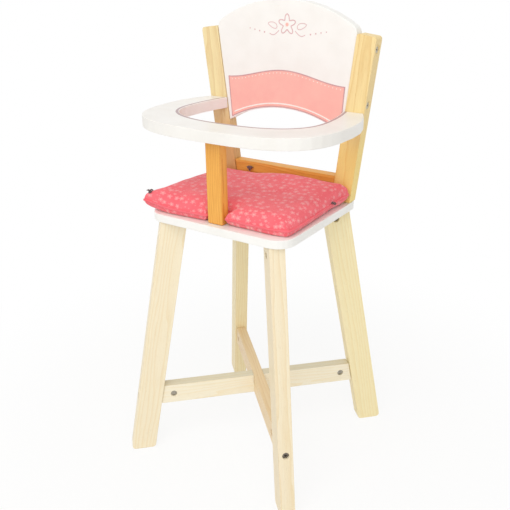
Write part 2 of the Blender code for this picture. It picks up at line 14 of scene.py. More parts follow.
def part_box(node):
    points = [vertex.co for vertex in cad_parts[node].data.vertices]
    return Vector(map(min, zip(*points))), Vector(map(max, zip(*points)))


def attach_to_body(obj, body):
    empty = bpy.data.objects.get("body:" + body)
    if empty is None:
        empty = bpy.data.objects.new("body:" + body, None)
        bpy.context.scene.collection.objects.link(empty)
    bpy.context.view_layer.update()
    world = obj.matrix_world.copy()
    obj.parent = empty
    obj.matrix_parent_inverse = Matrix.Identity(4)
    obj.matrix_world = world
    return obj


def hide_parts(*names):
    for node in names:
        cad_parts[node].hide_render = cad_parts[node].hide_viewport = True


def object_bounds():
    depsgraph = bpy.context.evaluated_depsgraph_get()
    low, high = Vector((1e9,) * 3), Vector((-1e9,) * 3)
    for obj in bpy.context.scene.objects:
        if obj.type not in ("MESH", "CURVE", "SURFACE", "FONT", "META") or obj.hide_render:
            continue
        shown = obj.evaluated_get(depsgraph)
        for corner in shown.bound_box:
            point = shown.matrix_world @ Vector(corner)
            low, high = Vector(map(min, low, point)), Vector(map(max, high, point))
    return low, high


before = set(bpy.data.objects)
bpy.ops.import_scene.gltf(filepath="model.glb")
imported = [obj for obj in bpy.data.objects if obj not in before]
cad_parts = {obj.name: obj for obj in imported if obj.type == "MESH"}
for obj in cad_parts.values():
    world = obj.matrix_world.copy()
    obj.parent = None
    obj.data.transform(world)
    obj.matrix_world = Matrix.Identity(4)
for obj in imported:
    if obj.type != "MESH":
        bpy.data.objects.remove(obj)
CAD_LOW, CAD_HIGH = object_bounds()

# Where the photograph was taken from
IMAGE_SIDE = 510
SENSOR = 36.0
CAMERA_PLACE = Vector((0.40866, -0.60785, 0.55509))
CAMERA_RIGHT = Vector((0.83602, 0.54862, -0.00913))
CAMERA_UP = Vector((-0.21028, 0.33572, 0.91819))
CAMERA_BACK = Vector((0.50681, -0.76571, 0.39603))
FOCAL_PIXELS = 703.56
SHIFT_PIXELS = 6.04
CLIP_NEAR, CLIP_FAR = 0.05, 30.0

# Lamps: name, azimuth and elevation in degrees, distance and size in metres, watts, tint
LAMPS = (
    ("key_lamp", 10, 46, 1.9, 1.6, 14.5, (1.0, 0.985, 0.96)),
    ("fill_lamp", 38, 24, 2.2, 1.4, 4.0, (0.97, 0.98, 1.0)),
)
LAMP_AIM = Vector((0, 0, 0.26))

# Light from all round, and a floor that glows more towards the distance
SKY, SKY_STRENGTH = (1.0, 0.99, 0.97, 1.0), 0.70
PURE_WHITE = (1.0, 1.0, 1.0, 1.0)
FLOOR_COLOUR = (0.90, 0.90, 0.89, 1.0)
FLOOR_ROUGHNESS = 0.4
FLOOR_GLOW, FLOOR_GLOW_GAIN = 0.84, 0.16
FLOOR_GLOW_RADII = (0.18, 0.55)
FLOOR_REACH = 6.0
FLOOR_DROP = 0.0002

# Lines of the chair that the finishes follow, in metres
LEG_SPLAY = Vector((0.0379, 0.0379, -0.291))
POST_SPLAY = Vector((0.0225, 0.0, 0.178))
PANEL_FACE = 0.0570

# Rim of the tray's opening and the pinstripe round it, which also carries painted shade at the rim, in
# millimetres
OPENING_HALF = 84.0
OPENING_FRONT = 56.0
OPENING_SQUARENESS = 2.5
ARM_END = 55.7
ARM_DRAW = 8.3
TRAY_UPPER = 400.2
TRAY_UPPER_BLEND = 0.6
STRIPE_INNER = (0.6, 0.9)
STRIPE_OUTER = (3.4, 3.8)
STRIPE_STRENGTH = 0.85

# Cushion, in metres
SEAT_TOP = 0.300
REST_GAP = 0.0004
SEAM_HEIGHT = 0.0062
PAD_HALF = 0.0858
PAD_FRONT = 0.0800
PAD_BACK = 0.0536
PAD_DRAW = 0.0022
PAD_FRONT_DRAW = 0.0026
PAD_SLANT = 0.0058
PAD_LEFT_SWELL = 0.0024
PAD_SHOULDER_FRONT = 0.0260
PAD_SHOULDER_BACK = 0.0070
PAD_SHOULDER_POWER = 2.4
PAD_SOLE = 0.0060
PAD_BODY = 0.0125
PAD_CROWN = 0.0014
PAD_TOP = 0.3206
NOTCH_HALF = 0.0122
NOTCH_BACK = -0.0602
CELL = 0.0030
RIM_STEPS = (0.0010, 0.0024, 0.0044, 0.0070)

# How far the stuffing moves a point sideways and up, and the depth of the folds
PAD_SWELL = 0.0012
PAD_LIFT = 0.0035
PAD_FOLDS = 0.0006
PUFF_FRAMES = 20
PUFF_SETTINGS = {
    "quality": 6,
    "mass": 0.15,
    "tension_stiffness": 12,
    "compression_stiffness": 10,
    "shear_stiffness": 4,
    "bending_stiffness": 0.12,
    "use_pressure": True,
    "uniform_pressure_force": 2.5,
    "shrink_min": -0.025,
}

# Folds: their turns per metre across and along the pad in radians, their phase and share
FOLDS = (
    (115, 40, 0.4, 0.34),
    (-62, 150, 1.9, 0.26),
    (205, -120, 3.3, 0.22),
    (30, 290, 5.1, 0.18),
)

# How the stuffing pulls the pad about: place, movement, lift of its top there, and reach
PAD_PULLS = (
    (-0.0858, -0.0800, (-0.0040, 0.0010, 0.0052), 0.0008, 0.020),
    (-0.0858, -0.0500, (-0.0004, 0.0, 0.0), 0.0028, 0.040),
    (-0.0858, -0.0080, (-0.0006, 0.0, 0.0), 0.0016, 0.038),
    (0.0858, -0.0800, (-0.0026, 0.0060, 0.0), 0.0, 0.015),
    (0.0700, -0.0800, (0.0, 0.0018, 0.0), 0.0, 0.032),
    (0.0858, 0.0536, (0.0006, 0.0, 0.0040), 0.0048, 0.036),
    (0.0220, 0.0500, (0.0, 0.0, 0.0), 0.0068, 0.038),
    (-0.0858, 0.0536, (-0.0006, 0.0, 0.0), -0.0008, 0.030),
)

# How much of the cloth's fall the print takes up over the pad's shoulder and below its seam
PRINT_OVER_SHOULDER = 0.8
PRINT_UNDER_SEAM = 1.3

# Cord in the seam, and knots of thread: name, start and direction of the search for the
# pad's skin, or the place itself, and the knot's turn
CORD_RADIUS = 0.0013
CORD_STEP = 0.0022
TIE_SIZE = 0.00095
TIE_THREAD = 0.00070
TIE_KNOT_STEPS = 36
TAIL_STEPS = 8
TAIL_START, TAIL_RUN, TAIL_BOW = 1.2, 3.2, 1.1
TAIL_THICKNESS = 0.8
TIES = (
    ("cushion_tie_front_left", (-0.0862, -0.0735, 0.3300), (0, 0, -1), (0.35, 0.15, 0.5)),
    ("cushion_tie_rear_right", (0.1000, 0.0215, 0.3105), (-1, 0, 0), (0.35, 0.15, 2.2)),
    ("cushion_tie_back", (-0.0446, 0.0546, 0.3210), None, (1.40, 0.0, 0.1)),
)

# Films of ink: how far they stand proud of the paint and reach into it, in metres, and how much
# of a line's width is kept in its sharpest corner
PRINT_DEPTH = 0.00016
PRINT_ROOT = 0.00012
CORNER_LEAST = 0.6

# Printed band on the backrest panel, in metres
BAND_STEPS = 48
BAND_LOW_HALF = 0.0702
BAND_HIGH_HALF = 0.0738
BAND_SHIFT = 0.0010
BAND_CREST = 0.4364
BAND_CREST_RISE = 0.0115
BAND_CREST_HALF = 0.0760
BAND_MARGIN = 0.0014
BAND_EDGE_WIDTH = 0.0011
BAND_LIGHT_WIDTH, BAND_LIGHT_PLACE, BAND_LIGHT_REACH = 0.0015, 0.085, 0.955
BAND_DOT_RADIUS, BAND_DOT_PLACE, BAND_DOT_REACH, BAND_DOT_STEPS = 0.00055, 0.93, 0.94, 30
ARCH_TOP = 0.3955
ARCH_FALL = 0.0205
ARCH_HALF = 0.0750

# Posy above the band, in metres
POSY_MIDDLE = Vector((0.0045, 0.4842))
PETALS, PETAL_REACH, PETAL_DEPTH, PETAL_STEPS = 5, 0.0106, 0.26, 80
HEART_RADIUS, HEART_SIDES = 0.0019, 14
PETAL_LINE, STEM_LINE, LEAF_LINE = 0.0011, 0.0008, 0.0007
STEM_START, STEM_RUN, STEM_DROP, STEM_SAG, STEM_STEPS = 0.0100, 0.0120, 0.0062, 0.0050, 12
LEAF_START, LEAF_DROP, LEAF_TILT, LEAF_STEPS = 0.0180, 0.0010, 0.25, 24
LEAF_HALF_LENGTH, LEAF_HALF_WIDTH = 0.0055, 0.0024
SPRIG_DOTS, SPRIG_START, SPRIG_PITCH = 4, 0.0285, 0.0062
SPRIG_DROP, SPRIG_RISE = 0.0088, 0.0011
SPRIG_RADIUS, SPRIG_TAPER = 0.00095, 0.00009

# Wood: pale and dark colour of each board, painted shade on top of the braces, and painted shade and
# light at the posts' feet
PALE_WOOD = ((0.95, 0.86, 0.66), (0.89, 0.75, 0.50))
LEG_WOODS = {
    "leg_front_left": PALE_WOOD,
    "leg_front_right": ((0.92, 0.82, 0.62), (0.86, 0.71, 0.46)),
    "leg_rear_left": ((0.95, 0.84, 0.55), (0.88, 0.72, 0.41)),
    "leg_rear_right": ((0.98, 0.88, 0.57), (0.93, 0.78, 0.43)),
}
BRACE_WOODS = {
    "brace_front_left_to_rear_right": ((0.97, 0.91, 0.75), (0.93, 0.82, 0.59)),
    "brace_front_right_to_rear_left": ((0.91, 0.74, 0.49), (0.82, 0.60, 0.34)),
}
# Painted shade on the braces' top faces, as if the seat above shades them
BRACE_TOP_SHADES = {
    "brace_front_left_to_rear_right": (0.76, 0.75, 0.70),
    "brace_front_right_to_rear_left": (0.93, 0.90, 0.84),
}
POST_WOODS = {
    "back_post_left": ((0.90, 0.76, 0.43), (0.78, 0.58, 0.28)),
    "back_post_right": ((0.93, 0.75, 0.38), (0.80, 0.56, 0.23)),
}
# Painted shade under the tray on the left post's foot, and painted light on the right post's foot
POST_FOOT_LIGHT_AND_SHADE = {
    "back_post_left": ((0.72, 0.44, 0.17), (0.60, 0.32, 0.10)),
    "back_post_right": ((0.98, 0.78, 0.28), (0.90, 0.62, 0.18)),
}
RAIL_WOOD = ((0.92, 0.50, 0.10), (0.72, 0.31, 0.045))
SUPPORT_WOOD = ((0.92, 0.475, 0.088), (0.72, 0.29, 0.038))

# Grain: width of the year rings in millimetres, and how much of the wood is pale
LEG_GRAIN = (3.2, 0.52)
BRACE_GRAIN = (2.8, 0.50)
POST_GRAIN = (3.4, 0.55)
RAIL_GRAIN = (2.4, 0.45)
SUPPORT_GRAIN = (2.2, 0.55)
DOWEL_GRAIN = (1.6, 0.5)
FOOT_LIGHT_AND_SHADE_HEIGHTS = (345.0, 408.0)

# Heart of the year rings beside the first board, and its step from board to board, in millimetres
HEART = ((13.0, 3.1), (21.0, -2.3), (0.0, 40.0))

# Features of the wood: how fast each changes along the board, then its scale, detail and roughness
WAVER = (0.10, 0.055, 2.0, 0.45)
FIBRE = (0.03, 2.2, 4.0, 0.6)
STREAK = (0.05, 0.9, 2.0, 0.5)
SPECKS = (0.06, 3.1, 1.0, 0.5)
RING_SWING, RING_POWER = 14.0, 2.6
LATE_SHARE, FIBRE_SHARE, STREAK_SHARE = 0.50, 0.55, 0.45
PALE_TO, DARK_FROM = -0.28, 0.62
PORES, PORE_STRENGTH = (0.66, 0.74), 0.32
DEEP_WOOD = 0.62
UPWARD = (0.70, 0.95)

# Gain and base of each finish's roughness, and strength and depth in metres of its bump
WOOD_ROUGH, WOOD_BUMP = (0.22, 0.36), (0.35, 0.00012)
PAINT_ROUGH, PAINT_BUMP = (0.14, 0.31), (0.22, 0.00010)
INK_ROUGH, INK_BUMP = (0.16, 0.40), (0.25, 0.00005)
STEEL_ROUGH, STEEL_BUMP = (0.30, 0.25), (0.3, 0.00006)
COTTON_ROUGH, COTTON_BUMP = (0.18, 0.74), (0.5, 0.00018)

# Worn edges: their radius in metres and strength, the cosines and the noise that bound them
WOOD_EDGE, WOOD_WEAR = 0.0011, 0.30
PAINT_EDGE, PAINT_WEAR = 0.0012, 0.30
STEEL_EDGE, STEEL_WEAR = 0.0004, 0.7
EDGE_COSINES = (0.995, 0.90)
EDGE_BREAKS = (0.42, 0.62)
SCUFFS, SCUFF_STRENGTH = (0.70, 0.76), 0.10

# Paint, ink and cloth
WHITE, WHITE_SHADE = (0.93, 0.925, 0.90), (0.90, 0.89, 0.86)
TRAY_WHITE, TRAY_SHADE = (0.905, 0.89, 0.86), (0.875, 0.855, 0.82)
BARE_EDGE = (0.80, 0.68, 0.48)
# Pinstripe colour, darkened so that it also paints the shade at the rim of the tray's opening
STRIPE_AND_RIM_SHADE = (0.36, 0.21, 0.23)
PINK, PINK_SHADE = (0.96, 0.52, 0.45), (0.94, 0.46, 0.41)
MAUVE, MAUVE_SHADE = (0.66, 0.37, 0.38), (0.58, 0.31, 0.33)
ROSE, ROSE_SHADE = (0.74, 0.50, 0.51), (0.68, 0.44, 0.46)
CREAM, CREAM_SHADE = (0.96, 0.90, 0.86), (0.93, 0.85, 0.80)
CORAL, CORAL_SHADE, CORAL_CORD = (0.98, 0.182, 0.217), (0.94, 0.147, 0.182), (0.94, 0.18, 0.22)
TIE, TIE_SHADE = (0.22, 0.13, 0.13), (0.14, 0.08, 0.085)

# Steel: plain, dull and rubbed colour
DARK_STEEL = ((0.19, 0.165, 0.14), (0.28, 0.245, 0.21), (0.46, 0.42, 0.37))
DULL_ZINC = ((0.38, 0.35, 0.29), (0.50, 0.46, 0.39), (0.70, 0.67, 0.60))
PALE_ZINC = ((0.50, 0.46, 0.38), (0.62, 0.58, 0.49), (0.78, 0.74, 0.66))

# Blossoms on the cushion: pitch and reach in millimetres, strength of the ink, share left out
BLOSSOMS = ((8.4, 3.6, 0.50, 0.10), (5.2, 1.3, 0.42, 0.25))
BLOSSOM_PETALS, BLOSSOM_LOBE = 5.0, 0.17
BLOSSOM_GROWTH, BLOSSOM_LEAST = 0.45, 0.62
BLOSSOM_BLUR = (-0.35, 0.55)
BLOSSOM, BLOSSOM_HEART = (0.97, 0.42, 0.45), (0.98, 0.62, 0.50)
EYE_FROM_REACH, EYE_SHARE, EYE_BLUR, EYE_STRENGTH = 2.0, 0.26, (-0.1, 0.25), 0.75

# Weave of the cotton, and how dark it is between its threads
WEAVE = {"Scale": 0.42, "Distortion": 0.35, "Detail": 1.0, "Detail Scale": 2.0}
WEAVE_GAPS, WEAVE_GAP_STRENGTH, DEEP_COTTON = (0.55, 0.15), 0.30, 0.70


# Shader building
def add_node(tree, kind, inputs=(), **settings):
    node = tree.nodes.new(kind)
    for key, value in settings.items():
        setattr(node, key, value)
    for key, value in dict(inputs).items():
        socket = node.inputs[key]
        if isinstance(value, bpy.types.NodeSocket):
            tree.links.new(value, socket)
        else:
            socket.default_value = value
    return node


def maths(tree, operation, first, second=0.0, third=0.0):
    inputs = {0: first, 1: second, 2: third}
    return add_node(tree, "ShaderNodeMath", inputs, operation=operation).outputs[0]


def vector_maths(tree, operation, **inputs):
    """Outputs of a vector operation on first, second and scale, as far as they are given."""
    keys = {"first": 0, "second": 1, "scale": "Scale"}
    given = {keys[key]: value for key, value in inputs.items()}
    return add_node(tree, "ShaderNodeVectorMath", given, operation=operation).outputs


def blend_colour(tree, share, first, second, how="MIX"):
    node = add_node(tree, "ShaderNodeMix", data_type="RGBA", blend_type=how)
    for index, value in ((0, share), (6, first), (7, second)):
        socket = node.inputs[index]
        if isinstance(value, bpy.types.NodeSocket):
            tree.links.new(value, socket)
        else:
            socket.default_value = value if index == 0 else (*value, 1.0)
    return node.outputs[2]


def lay_over(tree, mask, strength, under, over):
    """The colour over at its strength where the mask is 1, and the colour under elsewhere."""
    return blend_colour(tree, maths(tree, "MULTIPLY", mask, strength), under, over)


def smooth_step(tree, value, low, high):
    inputs = {"Value": value, "From Min": low, "From Max": high, "To Min": 0.0, "To Max": 1.0}
    return add_node(tree, "ShaderNodeMapRange", inputs, interpolation_type="SMOOTHSTEP").outputs[0]


def emptied_tree(holder):
    """The node tree of a material or world, with nothing in it."""
    holder.use_nodes = True
    holder.node_tree.nodes.clear()
    return holder.node_tree


def new_material(name, **plain):
    material = bpy.data.materials.new(name)
    tree = emptied_tree(material)
    shader = add_node(tree, "ShaderNodeBsdfPrincipled")
    for key, value in plain.items():
        shader.inputs[key.replace("_", " ")].default_value = value
    add_node(tree, "ShaderNodeOutputMaterial", {0: shader.outputs[0]})
    return material, tree, shader


def plug_in(tree, shader, colour, rough, height, bump):
    """Gives the shader its colour, its roughness and a bump of the height's shape."""
    strength, depth = bump
    bump = add_node(tree, "ShaderNodeBump", {"Height": height, "Strength": strength, "Distance": depth})
    tree.links.new(colour, shader.inputs["Base Color"])
    tree.links.new(rough, shader.inputs["Roughness"])
    tree.links.new(bump.outputs[0], shader.inputs["Normal"])


def own_place(tree, origin=(0, 0, 0), turn=(0, 0, 0)):
    """Coordinates in millimetres from the origin, along axes that are turned as given."""
    place = add_node(tree, "ShaderNodeTexCoord").outputs["Object"]
    inputs = {"Vector": place, "Location": origin, "Rotation": turn, "Scale": (0.001, 0.001, 0.001)}
    return add_node(tree, "ShaderNodeMapping", inputs, vector_type="TEXTURE").outputs[0]


def stretched(tree, vector, scale):
    return add_node(tree, "ShaderNodeMapping", {"Vector": vector, "Scale": scale}).outputs[0]


def noise(tree, vector, scale, detail=3.0, rough=0.5, output="Fac"):
    inputs = {"Vector": vector, "Scale": scale, "Detail": detail, "Roughness": rough}
    return add_node(tree, "ShaderNodeTexNoise", inputs).outputs[output]


def worn_edge(tree, radius, breakup):
    """1 on the rounded edges of a piece, broken up as handling does, and 0 elsewhere."""
    rounded = add_node(tree, "ShaderNodeBevel", {"Radius": radius}, samples=6).outputs[0]
    flat = add_node(tree, "ShaderNodeNewGeometry").outputs["Normal"]
    agree = vector_maths(tree, "DOT_PRODUCT", first=rounded, second=flat)["Value"]
    edge = smooth_step(tree, agree, *EDGE_COSINES)
    return maths(tree, "MULTIPLY", edge, smooth_step(tree, breakup, *EDGE_BREAKS))


# Finishes
def grain_noise(tree, place, feature, output="Fac"):
    """Noise that is drawn out along the board."""
    draw, scale, detail, rough = feature
    return noise(tree, stretched(tree, place, (1.0, 1.0, draw)), scale, detail, rough, output)


def wood_rings(tree, place, ring):
    """Year rings of a given width, from 0 to 1 across each, which waver slowly along the board."""
    waver = grain_noise(tree, place, WAVER, "Color")
    centred = vector_maths(tree, "SUBTRACT", first=waver, second=(0.5, 0.5, 0.5))[0]
    swing = vector_maths(tree, "SCALE", first=centred, scale=RING_SWING)[0]
    bent = vector_maths(tree, "ADD", first=place, second=swing)[0]
    rings = add_node(
        tree,
        "ShaderNodeTexWave",
        {"Vector": bent, "Scale": 2 * math.pi / (20 * ring), "Distortion": 0.6, "Detail": 2.0},
        wave_type="RINGS",
        rings_direction="Z",
        wave_profile="SAW",
    )
    return rings.outputs["Fac"]


def wood(name, colours, origin, axis, grain, seed, foot=None, top_tone=None):
    """Planed and lacquered wood whose grain runs along the axis, round a heart beside the board.

    A foot's pair of colours, painted shade on the left post and painted light on the right, takes
    over below FOOT_LIGHT_AND_SHADE_HEIGHTS, and a top_tone darkens the faces that look up as painted
    shade.
    """
    light, dark = colours
    ring, tone = grain
    deep = tuple(channel * DEEP_WOOD for channel in dark)
    material, tree, shader = new_material(name, Coat_Weight=0.08, Coat_Roughness=0.35)
    place = own_place(tree, origin, axis.to_track_quat("Z", "Y").to_euler())
    heart = tuple(first + seed * step for first, step in HEART)
    shifted = vector_maths(tree, "ADD", first=place, second=heart)[0]
    fibre = grain_noise(tree, shifted, FIBRE)
    streak = grain_noise(tree, shifted, STREAK)
    pores = smooth_step(tree, grain_noise(tree, shifted, SPECKS), *PORES)
    late = maths(tree, "POWER", wood_rings(tree, shifted, ring), RING_POWER)
    mixed = maths(tree, "MULTIPLY_ADD", late, LATE_SHARE, maths(tree, "MULTIPLY", fibre, FIBRE_SHARE))
    mixed = maths(tree, "MULTIPLY_ADD", streak, STREAK_SHARE, mixed)
    share = smooth_step(tree, mixed, tone + PALE_TO, tone + DARK_FROM)
    # Painted light and shade: the foot's colours take over low on the post, below the tray
    if foot:
        level = add_node(tree, "ShaderNodeSeparateXYZ", {0: own_place(tree)}).outputs[2]
        above_foot_light_and_shade = smooth_step(tree, level, *FOOT_LIGHT_AND_SHADE_HEIGHTS)
        light = blend_colour(tree, above_foot_light_and_shade, foot[0], light)
        dark = blend_colour(tree, above_foot_light_and_shade, foot[1], dark)
    colour = blend_colour(tree, share, light, dark)
    # Painted shade: faces that look up are darkened
    if top_tone:
        facing = add_node(tree, "ShaderNodeNewGeometry").outputs["Normal"]
        upward = add_node(tree, "ShaderNodeSeparateXYZ", {0: facing}).outputs[2]
        shaded_top = smooth_step(tree, upward, *UPWARD)
        colour = blend_colour(tree, shaded_top, colour, top_tone, "MULTIPLY")
    colour = lay_over(tree, pores, PORE_STRENGTH, colour, deep)
    edge = worn_edge(tree, WOOD_EDGE, noise(tree, place, 0.28))
    colour = lay_over(tree, edge, WOOD_WEAR, colour, deep)
    rough = maths(tree, "MULTIPLY_ADD", fibre, *WOOD_ROUGH)
    rough = maths(tree, "MULTIPLY_ADD", edge, -0.08, rough)
    height = maths(tree, "MULTIPLY_ADD", pores, -0.8, maths(tree, "MULTIPLY_ADD", late, 0.35, fibre))
    plug_in(tree, shader, colour, rough, height, WOOD_BUMP)
    return material


def paint(name, colour, shade, trim=None):
    """Sprayed and rolled enamel on wood: faint orange peel, soft mottling, rubbed edges."""
    material, tree, shader = new_material(name, Coat_Weight=0.12, Coat_Roughness=0.22)
    place = own_place(tree)
    mottle = noise(tree, place, 0.035)
    fine = noise(tree, place, 0.9, 2.0)
    tint = blend_colour(tree, smooth_step(tree, mottle, 0.35, 0.70), colour, shade)
    if trim:
        tint = trim(tree, place, tint)
    edge = worn_edge(tree, PAINT_EDGE, noise(tree, place, 0.22, 4.0, 0.62))
    tint = lay_over(tree, edge, PAINT_WEAR, tint, BARE_EDGE)
    scuffs = smooth_step(tree, noise(tree, stretched(tree, place, (0.10, 1.0, 1.0)), 0.8), *SCUFFS)
    tint = lay_over(tree, scuffs, SCUFF_STRENGTH, tint, BARE_EDGE)
    rough = maths(tree, "MULTIPLY_ADD", mottle, *PAINT_ROUGH)
    rough = maths(tree, "MULTIPLY_ADD", scuffs, 0.12, rough)
    peel = maths(tree, "MULTIPLY_ADD", fine, 0.6, noise(tree, place, 0.42, 2.0))
    height = maths(tree, "MULTIPLY_ADD", scuffs, -0.3, peel)
    plug_in(tree, shader, tint, rough, height, PAINT_BUMP)
    return material


def opening_trim(tree, place, tint):
    """A pinstripe round the rim of the tray's opening, darkened and widened as painted shade at the
    rim's edge.
    """
    parts = add_node(tree, "ShaderNodeSeparateXYZ", {0: place}).outputs
    across = maths(tree, "ABSOLUTE", parts[0])
    power = OPENING_SQUARENESS
    terms, slopes = [], []
    for value, half in ((across, OPENING_HALF), (maths(tree, "ABSOLUTE", parts[1]), OPENING_FRONT)):
        share = maths(tree, "DIVIDE", value, half)
        slope = maths(tree, "POWER", share, power - 1)
        terms.append(maths(tree, "MULTIPLY", slope, share))
        slopes.append(maths(tree, "MULTIPLY", slope, power / half))
    squares = [maths(tree, "MULTIPLY", slope, slope) for slope in slopes]
    length = maths(tree, "SQRT", maths(tree, "ADD", *squares))
    excess = maths(tree, "SUBTRACT", maths(tree, "ADD", *terms), 1.0)
    round_part = maths(tree, "DIVIDE", excess, length)
    run = maths(tree, "DIVIDE", parts[1], ARM_END)
    straying = maths(tree, "MULTIPLY", maths(tree, "MULTIPLY", run, run), ARM_DRAW)
    arm_part = maths(tree, "ADD", maths(tree, "SUBTRACT", across, OPENING_HALF), straying)
    behind = maths(tree, "GREATER_THAN", parts[1], 0.0)
    gap = add_node(tree, "ShaderNodeMix", {0: behind, 2: round_part, 3: arm_part}).outputs[0]
    begun = smooth_step(tree, gap, *STRIPE_INNER)
    # The printed pinstripe, which is also painted shade at the rim's edge
    stripe_and_rim_shade = maths(tree, "SUBTRACT", begun, smooth_step(tree, gap, *STRIPE_OUTER))
    upper = smooth_step(tree, parts[2], TRAY_UPPER - TRAY_UPPER_BLEND, TRAY_UPPER)
    return lay_over(tree, maths(tree, "MULTIPLY", stripe_and_rim_shade, upper), STRIPE_STRENGTH, tint, STRIPE_AND_RIM_SHADE)


def ink(name, colour, shade):
    """Screen-printed enamel: dense, slightly uneven, with a fine tooth."""
    material, tree, shader = new_material(name, Coat_Weight=0.06, Coat_Roughness=0.3)
    place = own_place(tree)
    cloud = noise(tree, place, 0.06, 4.0, 0.6)
    tooth = noise(tree, place, 2.4, 2.0)
    share = maths(tree, "MULTIPLY_ADD", tooth, 0.35, smooth_step(tree, cloud, 0.30, 0.75))
    tint = lay_over(tree, share, 0.75, colour, shade)
    rough = maths(tree, "MULTIPLY_ADD", cloud, *INK_ROUGH)
    plug_in(tree, shader, tint, rough, tooth, INK_BUMP)
    return material


def steel(name, plain, dull, rubbed):
    """Steel fittings, rubbed brighter on their edges, with turning marks."""
    material, tree, shader = new_material(name, Metallic=1.0)
    place = own_place(tree)
    cloud = noise(tree, place, 0.9)
    turned = noise(tree, stretched(tree, place, (1.0, 1.0, 6.0)), 2.2, 2.0)
    tint = blend_colour(tree, smooth_step(tree, cloud, 0.35, 0.7), plain, dull)
    tint = lay_over(tree, worn_edge(tree, STEEL_EDGE, cloud), STEEL_WEAR, tint, rubbed)
    rough = maths(tree, "MULTIPLY_ADD", turned, *STEEL_ROUGH)
    plug_in(tree, shader, tint, rough, turned, STEEL_BUMP)
    return material


def cotton(name, base, shade, laid=None):
    """Plain-woven cotton.

    Where laid names the attribute that holds the cloth's own coordinates, small loose
    blossoms are printed all over it.
    """
    sheen = {"Sheen_Weight": 0.22, "Sheen_Roughness": 0.45, "Specular_IOR_Level": 0.25}
    material, tree, shader = new_material(name, **sheen)
    if laid:
        place = add_node(tree, "ShaderNodeAttribute", attribute_name=laid).outputs["Vector"]
    else:
        place = own_place(tree)
    cloud = noise(tree, place, 0.045)
    fuzz = noise(tree, place, 1.7, 3.0, 0.6)
    tint = blend_colour(tree, smooth_step(tree, cloud, 0.30, 0.72), base, shade)
    if laid:
        tint = print_blossoms(tree, place, tint)
    threads = []
    for direction in ("X", "Y"):
        settings = {"wave_type": "BANDS", "bands_direction": direction}
        wave = add_node(tree, "ShaderNodeTexWave", {"Vector": place, **WEAVE}, **settings)
        threads.append(wave.outputs["Fac"])
    weave = maths(tree, "MULTIPLY_ADD", fuzz, 0.5, maths(tree, "MULTIPLY", *threads))
    gaps = smooth_step(tree, weave, *WEAVE_GAPS)
    deep = tuple(channel * DEEP_COTTON for channel in base)
    tint = lay_over(tree, gaps, WEAVE_GAP_STRENGTH, tint, deep)
    rough = maths(tree, "MULTIPLY_ADD", fuzz, *COTTON_ROUGH)
    plug_in(tree, shader, tint, rough, weave, COTTON_BUMP)
    return material


def print_blossoms(tree, place, ground):
    """Loose five-petalled blossoms of two sizes, scattered with no repeat."""
    flat = vector_maths(tree, "MULTIPLY", first=place, second=(1.0, 1.0, 0.0))[0]
    for pitch, reach, strength, left_out in BLOSSOMS:
        cells = add_node(
            tree,
            "ShaderNodeTexVoronoi",
            {"Vector": flat, "Scale": 1.0 / pitch, "Randomness": 0.72},
            voronoi_dimensions="2D",
        )
        offset = vector_maths(tree, "SUBTRACT", first=flat, second=cells.outputs["Position"])[0]
        parts = add_node(tree, "ShaderNodeSeparateXYZ", {0: offset}).outputs
        chance = add_node(tree, "ShaderNodeSeparateColor", {0: cells.outputs["Color"]}).outputs
        distance = vector_maths(tree, "LENGTH", first=offset)["Value"]
        angle = maths(tree, "ARCTAN2", parts[1], parts[0])
        phase = maths(tree, "MULTIPLY", chance[0], 6.28)
        lobes = maths(tree, "COSINE", maths(tree, "MULTIPLY_ADD", angle, BLOSSOM_PETALS, phase))
        lobes = maths(tree, "MULTIPLY_ADD", lobes, BLOSSOM_LOBE, 1 - BLOSSOM_LOBE)
        growth, least = BLOSSOM_GROWTH * reach, BLOSSOM_LEAST * reach
        size = maths(tree, "MULTIPLY_ADD", chance[1], growth, least)
        edge = maths(tree, "MULTIPLY", lobes, size)
        inside = smooth_step(tree, maths(tree, "SUBTRACT", edge, distance), *BLOSSOM_BLUR)
        there = maths(tree, "GREATER_THAN", chance[2], left_out)
        ground = lay_over(tree, maths(tree, "MULTIPLY", inside, there), strength, ground, BLOSSOM)
        if reach > EYE_FROM_REACH:
            within = maths(tree, "SUBTRACT", maths(tree, "MULTIPLY", size, EYE_SHARE), distance)
            eye = maths(tree, "MULTIPLY", smooth_step(tree, within, *EYE_BLUR), there)
            ground = lay_over(tree, eye, EYE_STRENGTH, ground, BLOSSOM_HEART)
    return ground


# Finishes of the frame's pieces
def dress(node, material):
    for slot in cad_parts[node].material_slots:
        slot.material = material


def dress_board(node, colours, axis, grain, seed, **extra):
    low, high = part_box(node)
    dress(node, wood(node + "_wood", colours, (low + high) / 2, axis, grain, seed, **extra))


